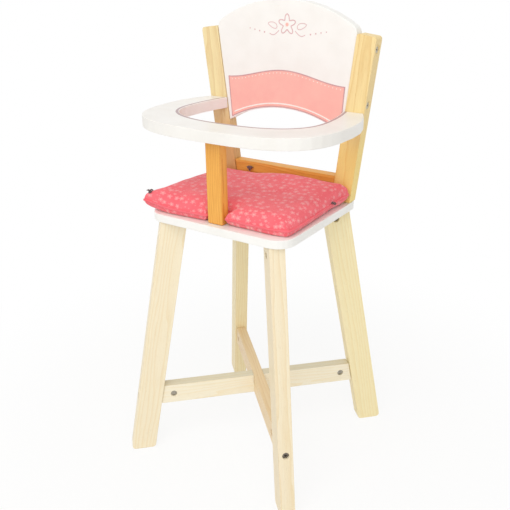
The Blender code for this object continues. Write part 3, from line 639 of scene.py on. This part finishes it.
def dress_woods():
    """Every board's own wood, with a seed that counts up from board to board."""
    seeds = iter(range(len(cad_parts)))
    for end, y_sign in (("front", -1), ("rear", 1)):
        for side, x_sign in (("left", -1), ("right", 1)):
            node = f"leg_{end}_{side}"
            axis = Vector((x_sign * LEG_SPLAY.x, y_sign * LEG_SPLAY.y, LEG_SPLAY.z))
            dress_board(node, LEG_WOODS[node], axis, LEG_GRAIN, next(seeds))
    for node, y_sign in (("brace_front_left_to_rear_right", 1), ("brace_front_right_to_rear_left", -1)):
        # tone is the painted shade for this brace's top faces
        tone = BRACE_TOP_SHADES[node]
        axis = Vector((1, y_sign, 0))
        dress_board(node, BRACE_WOODS[node], axis, BRACE_GRAIN, next(seeds), top_tone=tone)
    for node, x_sign in (("back_post_left", -1), ("back_post_right", 1)):
        # foot holds the painted light and shade for the post below the tray
        foot = POST_FOOT_LIGHT_AND_SHADE[node]
        axis = Vector((x_sign * POST_SPLAY.x, POST_SPLAY.y, POST_SPLAY.z))
        dress_board(node, POST_WOODS[node], axis, POST_GRAIN, next(seeds), foot=foot)
    dress_board("rear_rail", RAIL_WOOD, Vector((1, 0, 0)), RAIL_GRAIN, next(seeds))
    dress_board("front_support", SUPPORT_WOOD, Vector((0, 0, 1)), SUPPORT_GRAIN, next(seeds))
    dowels = wood("dowel_wood", PALE_WOOD, (0, 0, 0), Vector((1, 0, 0)), DOWEL_GRAIN, next(seeds))
    for node in ("rail_dowel_left", "rail_dowel_right", "front_support_dowel"):
        dress(node, dowels)


def dress_paint_and_steel():
    white = paint("white_enamel", WHITE, WHITE_SHADE)
    for node in ("seat_board", "backrest_panel"):
        dress(node, white)
    dress("tray", paint("tray_enamel", TRAY_WHITE, TRAY_SHADE, trim=opening_trim))
    dark = steel("dark_steel_fittings", *DARK_STEEL)
    dull = steel("dull_zinc_fittings", *DULL_ZINC)
    pale = steel("zinc_fittings", *PALE_ZINC)
    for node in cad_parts:
        if node.startswith(("panel_screw", "tray_left", "tray_right")):
            dress(node, pale)
        elif node.startswith("brace") and node.endswith("_nut"):
            dress(node, dull)
        elif node.endswith(("_bolt", "_nut", "_screw")):
            dress(node, dark)


# Mesh building
def make_object(name, vertices, faces, material, smooth=True):
    mesh = bpy.data.meshes.new(name)
    mesh.from_pydata([tuple(v) for v in vertices], [], faces)
    mesh.validate()
    mesh.update()
    item = bpy.data.objects.new(name, mesh)
    bpy.context.scene.collection.objects.link(item)
    item.data.materials.append(material)
    if smooth:
        mesh.shade_smooth()
    return item


def tube(points, radius, sides=8, closed=True):
    """Vertices and faces of a round cord along the points."""
    vertices, faces = [], []
    count = len(points)
    for i, point in enumerate(points):
        before = points[(i - 1) % count] if closed or i else point
        after = points[(i + 1) % count] if closed or i < count - 1 else point
        along = (after - before).normalized()
        side = along.cross(Vector((0, 0, 1)))
        side = side.normalized() if side.length > 0.01 else Vector((1, 0, 0))
        over = along.cross(side).normalized()
        for k in range(sides):
            angle = 2 * math.pi * k / sides
            vertices.append(point + side * math.cos(angle) * radius + over * math.sin(angle) * radius)
    for i in range(count if closed else count - 1):
        near, far = i * sides, (i + 1) % count * sides
        for k in range(sides):
            after = (k + 1) % sides
            faces.append((near + k, near + after, far + after, far + k))
    if not closed:
        faces.append(tuple(reversed(range(sides))))
        faces.append(tuple(range((count - 1) * sides, count * sides)))
    return vertices, faces


def evened(points, spacing):
    """The same closed line in even steps, with its tight corners eased."""
    count = len(points)
    lengths = [(points[(i + 1) % count] - points[i]).length for i in range(count)]
    total = sum(lengths)
    steps = round(total / spacing)
    line, i, passed = [], 0, 0.0
    for step in range(steps):
        goal = total * step / steps
        while passed + lengths[i] < goal:
            passed += lengths[i]
            i += 1
        line.append(points[i].lerp(points[(i + 1) % count], (goal - passed) / lengths[i]))
    return [(line[i - 1] + 2 * line[i] + line[(i + 1) % steps]) / 4 for i in range(steps)]


# Cushion
def pad_run(y):
    """From -1 at the pad's front edge to 1 at its back edge."""
    return 2 * (y + PAD_FRONT) / (PAD_FRONT + PAD_BACK) - 1


def pad_half(y):
    """Half the pad's width, which draws in between its corners."""
    along = pad_run(y)
    return PAD_HALF - PAD_DRAW * (1 - along * along) * (1 + along) / 2


def pad_place(across, y):
    """Where a point of the plain outline lies once the edges have drawn in."""
    along = pad_run(y)
    half = pad_half(y)
    share = across / half
    ahead = ((1 - along) / 2) ** 6
    pull = PAD_FRONT_DRAW * (1 - share * share) * ahead + PAD_SLANT * (1 + share) / 2 * ahead
    return Vector((across - PAD_LEFT_SWELL * max(0.0, -share) ** 3, y + pull, 0))


def graded(start, end, low=True, high=True):
    """Places from start to end, a cell apart, and closer together where an end is a rim."""
    length = end - start
    first = RIM_STEPS if low else ()
    last = RIM_STEPS if high else ()
    begin = first[-1] if low else 0.0
    stop = length - last[-1] if high else length
    count = max(1, round((stop - begin) / CELL))
    offsets = [0.0, *first]
    offsets += [begin + (stop - begin) * i / count for i in range(1, count)]
    offsets += [length - step for step in reversed(last)]
    return [start + offset for offset in (*offsets, length)]


def shoulder(reach, radius, height):
    """Height of a rounded edge at a distance in from its foot."""
    share = 1 - min(reach / radius, 1.0)
    return height * (1 - share**PAD_SHOULDER_POWER) ** (1 / PAD_SHOULDER_POWER)


def pad_grid():
    """The pad's cells round its notch, and the place of each of their corners."""
    front_rows = graded(-PAD_FRONT, NOTCH_BACK, high=False)
    rows = front_rows[:-1] + graded(NOTCH_BACK, PAD_BACK)
    notch_rows = len(front_rows) - 1
    side_shares = [x / (PAD_HALF - NOTCH_HALF) for x in graded(0.0, PAD_HALF - NOTCH_HALF)]
    centre = graded(-NOTCH_HALF, NOTCH_HALF, False, False)
    side_steps = len(side_shares) - 1
    columns = side_steps * 2 + len(centre)
    left_notch, right_notch = side_steps, side_steps + len(centre) - 1

    def place(i, j):
        half = pad_half(rows[j])
        if i < left_notch:
            return pad_place(-half + (half - NOTCH_HALF) * side_shares[i], rows[j])
        if i > right_notch:
            return pad_place(NOTCH_HALF + (half - NOTCH_HALF) * side_shares[i - right_notch], rows[j])
        return pad_place(centre[i - left_notch], rows[j])

    def gone(i, j):
        return left_notch <= i < right_notch and j < notch_rows

    cells = {(i, j) for i in range(columns - 1) for j in range(len(rows) - 1) if not gone(i, j)}
    used = {(i + a, j + b) for i, j in cells for a in (0, 1) for b in (0, 1)}
    return cells, {key: place(*key) for key in used}


def cell_corners(i, j):
    return [(i, j), (i + 1, j), (i + 1, j + 1), (i, j + 1)]


def seam_keys(cells):
    """The corners on the pad's outline, in order round it."""
    follower = {}
    for i, j in cells:
        corners = cell_corners(i, j)
        for k, other in enumerate(((i, j - 1), (i + 1, j), (i, j + 1), (i - 1, j))):
            if other not in cells:
                follower[corners[k]] = corners[(k + 1) % 4]
    start = (0, 0)
    keys = [start]
    while follower[keys[-1]] != start:
        keys.append(follower[keys[-1]])
    return keys


def pad_mesh():
    """The pad as a closed mesh of two layers, its seam's vertices, and where its cloth is printed."""
    cells, spots = pad_grid()

    def inner(i, j):
        return all((i - a, j - b) in cells for a in (0, 1) for b in (0, 1))

    rim = {key for key in spots if not inner(*key)}
    rim_points = [spots[key] for key in rim]
    inner_points = [spots[key] for key in spots.keys() - rim]
    seam = SEAT_TOP + REST_GAP + SEAM_HEIGHT
    bodies, cloth_places, top, bottom = [], [], {}, {}
    for key in sorted(spots):
        spot = spots[key]
        nearest = min(rim_points, key=lambda point: (point - spot).length)
        reach = (nearest - spot).length
        across, along = spot.x / PAD_HALF, pad_run(spot.y)
        crown = PAD_CROWN * max(0.0, 1 - across**4) * max(0.0, 1 - along**4)
        share = max(max(0.0, (1 + along) / 2) ** 1.5, min(1.0, max(0.0, -across)) ** 4)
        radius = PAD_SHOULDER_FRONT + (PAD_SHOULDER_BACK - PAD_SHOULDER_FRONT) * share
        rise = shoulder(reach, radius, PAD_BODY)
        bodies.append(Vector((spot.x, spot.y, seam + rise + (0.0 if key in rim else crown))))
        top[key] = bottom[key] = len(bodies) - 1
        if key in rim:
            nearest = min(inner_points, key=lambda point: (point - spot).length)
            outward = (spot - nearest).normalized()
        else:
            outward = (nearest - spot).normalized()
        over = (PAD_BODY - rise) * PRINT_OVER_SHOULDER
        cloth_places.append((spot + outward * over) * 1000)
        if key not in rim:
            fall = shoulder(reach, PAD_SOLE, SEAM_HEIGHT)
            bodies.append(Vector((spot.x, spot.y, seam - fall)))
            bottom[key] = len(bodies) - 1
            under = PAD_BODY * PRINT_OVER_SHOULDER + fall * PRINT_UNDER_SEAM
            cloth_places.append((spot + outward * under) * 1000)
    faces = []
    for i, j in sorted(cells):
        corners = cell_corners(i, j)
        faces.append([top[key] for key in corners])
        faces.append([bottom[key] for key in reversed(corners)])
    return bodies, faces, [top[key] for key in seam_keys(cells)], cloth_places


def puff(item, start):
    """Inflates the pad as stuffing does, and keeps each point near where it began."""
    cloth = item.modifiers.new("stuffing", "CLOTH")
    for key, value in PUFF_SETTINGS.items():
        setattr(cloth.settings, key, value)
    cloth.settings.effector_weights.gravity = 0
    cloth.collision_settings.use_collision = False
    cloth.point_cache.frame_start = 1
    cloth.point_cache.frame_end = PUFF_FRAMES
    scene = bpy.context.scene
    for number in range(1, PUFF_FRAMES + 1):
        scene.frame_set(number)
    shape = item.evaluated_get(bpy.context.evaluated_depsgraph_get()).data
    moved = [v.co.copy() for v in shape.vertices]
    item.modifiers.remove(cloth)
    scene.frame_set(1)
    for index, (old, new) in enumerate(zip(start, moved)):
        step = new - old
        level = Vector((step.x, step.y, 0))
        if level.length > PAD_SWELL:
            level = level.normalized() * PAD_SWELL
        rise = max(-PAD_LIFT, min(PAD_LIFT, step.z))
        item.data.vertices[index].co = old + level + Vector((0, 0, rise))


def ruffle(x, y):
    """Soft hollows and folds in the stuffing, from -1 to 1."""
    return sum(share * math.sin(across * x + along * y + phase) for across, along, phase, share in FOLDS)


def settle(item):
    """Brings the pad's crown to height, pulls it about and keeps its underside on the seat."""
    floor = SEAT_TOP + REST_GAP
    seam = floor + SEAM_HEIGHT
    highest = max(v.co.z for v in item.data.vertices)
    rise = (PAD_TOP - seam) / (highest - seam)
    for v in item.data.vertices:
        if v.co.z > seam:
            share = (v.co.z - seam) / (highest - seam)
            v.co.z = seam + (v.co.z - seam) * rise + PAD_FOLDS * share * ruffle(v.co.x, v.co.y)
        spot = v.co.copy()
        height = min(1.0, max(0.0, (spot.z - seam) / (PAD_TOP - seam)))
        for x, y, move, at_top, reach in PAD_PULLS:
            near = math.exp(-(((spot.x - x) ** 2 + (spot.y - y) ** 2) / reach**2))
            v.co += Vector((*move[:2], move[2] + (at_top - move[2]) * height)) * near
        v.co.z = max(v.co.z, floor)


def make_cushion():
    start, faces, loop, cloth_places = pad_mesh()
    fabric = cotton("blossom_cotton", CORAL, CORAL_SHADE, laid="cloth_place")
    item = make_object("cushion", start, faces, fabric)
    laid = item.data.attributes.new("cloth_place", "FLOAT_VECTOR", "POINT")
    for index, place in enumerate(cloth_places):
        laid.data[index].vector = place
    puff(item, start)
    settle(item)
    soften = item.modifiers.new("soft", "SUBSURF")
    soften.levels = 1
    soften.render_levels = 1
    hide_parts("seat_cushion")
    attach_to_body(item, "root")
    rim = evened([item.data.vertices[i].co.copy() for i in loop], CORD_STEP)
    vertices, faces = tube(rim, CORD_RADIUS)
    cord = cotton("seam_cotton", CORAL_CORD, CORAL_SHADE)
    attach(make_object("cushion_seam_cord", vertices, faces, cord), item)
    thread = cotton("tie_cotton", TIE, TIE_SHADE)
    corners = [p.vertices[:] for p in item.data.polygons]
    skin = BVHTree.FromPolygons([v.co for v in item.data.vertices], corners)
    for name, place, aim, spin in TIES:
        place = Vector(place)
        if aim:
            place = skin.ray_cast(place, Vector(aim))[0] - Vector(aim) * TIE_THREAD
        attach(make_tie(name, place, spin, thread), item)


def attach(piece, cushion):
    piece.parent = cushion


def make_tie(name, place, spin, material):
    """A small knot of thread with two loose ends, which holds the stuffing near the pad's edge."""
    spin = Euler(spin).to_matrix()
    vertices, faces = [], []

    def add(points, radius, closed):
        line = [place + spin @ (point * TIE_SIZE) for point in points]
        fresh, ring = tube(line, radius, closed=closed)
        base = len(vertices)
        vertices.extend(fresh)
        faces.extend(tuple(base + index for index in face) for face in ring)

    knot = []
    for step in range(TIE_KNOT_STEPS):
        angle = 2 * math.pi * step / TIE_KNOT_STEPS
        x = math.sin(angle) + 2 * math.sin(2 * angle)
        y = math.cos(angle) - 2 * math.cos(2 * angle)
        knot.append(Vector((x, y, -0.8 * math.sin(3 * angle))))
    add(knot, TIE_THREAD, True)
    for side, droop in ((-1, 0.6), (1, 1.0)):
        tail = []
        for step in range(TAIL_STEPS):
            share = step / (TAIL_STEPS - 1)
            x = side * (TAIL_START + TAIL_RUN * share)
            tail.append(Vector((x, TAIL_BOW * math.sin(2.2 * share), -droop * share * share)))
        add(tail, TIE_THREAD * TAIL_THICKNESS, False)
    return make_object(name, vertices, faces, material)


# Prints on the paint
def on_panel(point, lift):
    return Vector((point.x, PANEL_FACE - lift, point.y))


def on_band(point, lift):
    return on_panel(point, lift + PRINT_DEPTH)


def print_piece(name, vertices, faces, material):
    item = make_object(name, vertices, faces, material, smooth=False)
    body = bmesh.new()
    body.from_mesh(item.data)
    bmesh.ops.recalc_face_normals(body, faces=body.faces)
    body.to_mesh(item.data)
    body.free()
    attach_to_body(item, "root")
    return item


def film(name, edges, material, top_of):
    """A thin film of ink between pairs of edge points, on the surface that top_of lifts from."""
    lifts = (-PRINT_ROOT, PRINT_DEPTH)
    vertices = [top_of(point, lift) for pair in edges for point in pair for lift in lifts]
    last = (len(edges) - 1) * 4
    faces = []
    for a in range(0, last, 4):
        b = a + 4
        faces.append((a + 1, a + 3, b + 3, b + 1))
        faces.append((a, b, b + 2, a + 2))
        faces.append((a, a + 1, b + 1, b))
        faces.append((a + 2, b + 2, b + 3, a + 3))
    faces.append((0, 2, 3, 1))
    faces.append((last, last + 1, last + 3, last + 2))
    return print_piece(name, vertices, faces, material)


def strip(name, line, width, material, top_of):
    """A film of ink of one width along a line of (point, sideways) pairs."""
    edges = [[point + side * width * share for share in (-0.5, 0.5)] for point, side in line]
    film(name, edges, material, top_of)


def dot(name, middle, radius, material, top_of, sides=10):
    """A round spot of ink."""
    angles = [2 * math.pi * i / sides for i in range(sides)]
    ring = [middle + Vector((math.cos(angle), math.sin(angle))) * radius for angle in angles]
    vertices = [top_of(point, lift) for lift in (-PRINT_ROOT, PRINT_DEPTH) for point in ring]
    faces = [tuple(range(sides)), tuple(range(sides, 2 * sides))]
    faces += [(i, (i + 1) % sides, sides + (i + 1) % sides, sides + i) for i in range(sides)]
    print_piece(name, vertices, faces, material)


def with_sides(points, closed=False):
    """Each point with its sideways direction, which is longer at a corner to keep the width."""
    line, count = [], len(points)
    for i, point in enumerate(points):
        before, after = points[max(i - 1, 0)], points[min(i + 1, count - 1)]
        if closed and i in (0, count - 1):
            before, after = points[-2], points[1]
        first, second = (point - before), (after - point)
        first = first.normalized() if first.length else second.normalized()
        second = second.normalized() if second.length else first
        along = (first + second).normalized()
        side = Vector((-along.y, along.x))
        line.append((point, side / max(CORNER_LEAST, side.dot(Vector((-first.y, first.x))))))
    return line


def arc_height(x, top, fall, half):
    """Height at x of the circular arc that falls by fall at half."""
    radius = (half * half + fall * fall) / (2 * fall)
    return top - radius + math.sqrt(radius * radius - x * x)


def band_edges(share):
    """Lower and upper edge of the printed band at a share across from -1 to 1."""
    low_x = BAND_LOW_HALF * share + BAND_SHIFT
    low = Vector((low_x, arc_height(low_x, ARCH_TOP, ARCH_FALL, ARCH_HALF) + BAND_MARGIN))
    high_x = BAND_HIGH_HALF * share
    swell = (1 - math.cos(math.pi * high_x / BAND_CREST_HALF)) / 2
    return low, Vector((high_x + BAND_SHIFT, BAND_CREST - BAND_CREST_RISE * swell))


def band_line(part, steps=BAND_STEPS, reach=1.0):
    """A line across the band, at a share of the way from its lower to its upper edge."""
    points = []
    for i in range(steps + 1):
        low, high = band_edges(reach * (2 * i / steps - 1))
        points.append(low.lerp(high, part))
    return points


def make_band(pink, mauve, cream):
    edges = [band_edges(2 * i / BAND_STEPS - 1) for i in range(BAND_STEPS + 1)]
    band = film("backrest_band_print", edges, pink, on_panel)
    outline = band_line(0.0) + band_line(1.0)[::-1]
    outline.append(outline[0])
    outline = with_sides(outline, closed=True)
    strip("backrest_band_edge_line", outline, BAND_EDGE_WIDTH, mauve, on_band)
    light = with_sides(band_line(BAND_LIGHT_PLACE, reach=BAND_LIGHT_REACH))
    strip("backrest_band_light_line", light, BAND_LIGHT_WIDTH, cream, on_band)
    for i, point in enumerate(band_line(BAND_DOT_PLACE, BAND_DOT_STEPS, BAND_DOT_REACH)):
        dot(f"backrest_band_dot_{i:02d}", point, BAND_DOT_RADIUS, cream, on_band)


def petal_line():
    points = []
    for step in range(PETAL_STEPS):
        angle = 2 * math.pi * step / PETAL_STEPS
        reach = PETAL_REACH * (1 - PETAL_DEPTH + PETAL_DEPTH * math.cos(PETALS * angle))
        points.append(POSY_MIDDLE + Vector((math.sin(angle), math.cos(angle))) * reach)
    return with_sides([*points, points[0]], closed=True)


def stem_line(side):
    points = []
    for step in range(STEM_STEPS + 1):
        share = step / STEM_STEPS
        drop = -STEM_DROP - STEM_SAG * math.sin(2.4 * share)
        points.append(POSY_MIDDLE + Vector((side * (STEM_START + STEM_RUN * share), drop)))
    return with_sides(points)


def leaf_line(side):
    points = []
    for step in range(LEAF_STEPS + 1):
        angle = 2 * math.pi * step / LEAF_STEPS
        x = LEAF_HALF_LENGTH * math.cos(angle)
        y = LEAF_HALF_WIDTH * math.sin(angle) * (1.2 - 0.4 * math.cos(angle))
        points.append(POSY_MIDDLE + Vector((side * (LEAF_START + x), y + LEAF_TILT * x - LEAF_DROP)))
    return with_sides(points, closed=True)


def make_posy(line_ink, heart_ink):
    """A small posy drawn in soft lines, with a sprig of dots to each side."""
    strip("backrest_posy_petals", petal_line(), PETAL_LINE, line_ink, on_panel)
    dot("backrest_posy_heart", POSY_MIDDLE, HEART_RADIUS, heart_ink, on_panel, HEART_SIDES)
    for side, word in ((-1, "left"), (1, "right")):
        strip("backrest_posy_stem_" + word, stem_line(side), STEM_LINE, line_ink, on_panel)
        strip("backrest_posy_leaf_" + word, leaf_line(side), LEAF_LINE, line_ink, on_panel)
        for step in range(SPRIG_DOTS):
            away = Vector((side * (SPRIG_START + SPRIG_PITCH * step), SPRIG_RISE * step - SPRIG_DROP))
            radius = SPRIG_RADIUS - SPRIG_TAPER * step
            dot(f"backrest_posy_dot_{word}_{step}", POSY_MIDDLE + away, radius, line_ink, on_panel)


# Floor, light and camera
def seen_directly(tree):
    """1 for rays from the camera, or seen in gloss or through glass, and 0 for the rest."""
    path = add_node(tree, "ShaderNodeLightPath").outputs
    seen = maths(tree, "MAXIMUM", path["Is Camera Ray"], path["Is Glossy Ray"])
    return maths(tree, "MAXIMUM", seen, path["Is Transmission Ray"])


def make_sky():
    world = bpy.data.worlds.new("studio")
    bpy.context.scene.world = world
    tree = emptied_tree(world)
    soft = add_node(tree, "ShaderNodeBackground", {"Color": SKY, "Strength": SKY_STRENGTH})
    white = add_node(tree, "ShaderNodeBackground", {"Color": PURE_WHITE, "Strength": 1.0})
    shades = {0: seen_directly(tree), 1: soft.outputs[0], 2: white.outputs[0]}
    mix = add_node(tree, "ShaderNodeMixShader", shades)
    add_node(tree, "ShaderNodeOutputWorld", {0: mix.outputs[0]})


def make_floor():
    material = bpy.data.materials.new("studio_floor")
    tree = emptied_tree(material)
    finish = {"Color": FLOOR_COLOUR, "Roughness": FLOOR_ROUGHNESS}
    matt = add_node(tree, "ShaderNodeBsdfDiffuse", finish)
    glow = add_node(tree, "ShaderNodeEmission", {"Color": PURE_WHITE, "Strength": 1.0})
    place = add_node(tree, "ShaderNodeTexCoord").outputs["Object"]
    away = smooth_step(tree, vector_maths(tree, "LENGTH", first=place)["Value"], *FLOOR_GLOW_RADII)
    glowing = maths(tree, "MULTIPLY_ADD", away, FLOOR_GLOW_GAIN, FLOOR_GLOW)
    share = maths(tree, "MULTIPLY", seen_directly(tree), glowing)
    mix = add_node(tree, "ShaderNodeMixShader", {0: share, 1: matt.outputs[0], 2: glow.outputs[0]})
    add_node(tree, "ShaderNodeOutputMaterial", {0: mix.outputs[0]})
    far = FLOOR_REACH
    corners = [(-far, -far, 0), (far, -far, 0), (far, far, 0), (-far, far, 0)]
    floor = make_object("studio_floor", corners, [(0, 1, 2, 3)], material, smooth=False)
    floor.location.z = CAD_LOW.z - FLOOR_DROP


def make_lamp(name, azimuth, elevation, distance, size, power, tint):
    data = bpy.data.lights.new(name, "AREA")
    data.shape = "SQUARE"
    data.size = size
    data.energy = power
    data.color = tint
    lamp = bpy.data.objects.new(name, data)
    bpy.context.scene.collection.objects.link(lamp)
    a, e = math.radians(azimuth), math.radians(elevation)
    back = Vector((math.sin(a) * math.cos(e), -math.cos(a) * math.cos(e), math.sin(e)))
    lamp.location = LAMP_AIM + back * distance
    lamp.rotation_mode = "QUATERNION"
    lamp.rotation_quaternion = back.to_track_quat("Z", "Y")


def make_camera():
    data = bpy.data.cameras.new("photo_camera")
    data.sensor_fit = "HORIZONTAL"
    data.sensor_width = SENSOR
    data.lens = FOCAL_PIXELS / IMAGE_SIDE * SENSOR
    data.shift_x = -SHIFT_PIXELS / IMAGE_SIDE
    data.clip_start = CLIP_NEAR
    data.clip_end = CLIP_FAR
    camera = bpy.data.objects.new("photo_camera", data)
    bpy.context.scene.collection.objects.link(camera)
    turn = Matrix((CAMERA_RIGHT, CAMERA_UP, CAMERA_BACK)).transposed().to_4x4()
    camera.matrix_world = Matrix.Translation(CAMERA_PLACE) @ turn
    bpy.context.scene.camera = camera
    bpy.context.scene.view_settings.view_transform = "Standard"


def main():
    dress_woods()
    dress_paint_and_steel()
    make_cushion()
    pink = ink("pink_ink", PINK, PINK_SHADE)
    mauve = ink("mauve_ink", MAUVE, MAUVE_SHADE)
    make_band(pink, mauve, ink("cream_ink", CREAM, CREAM_SHADE))
    make_posy(ink("rose_ink", ROSE, ROSE_SHADE), pink)
    make_sky()
    make_floor()
    for lamp in LAMPS:
        make_lamp(*lamp)
    make_camera()


main()
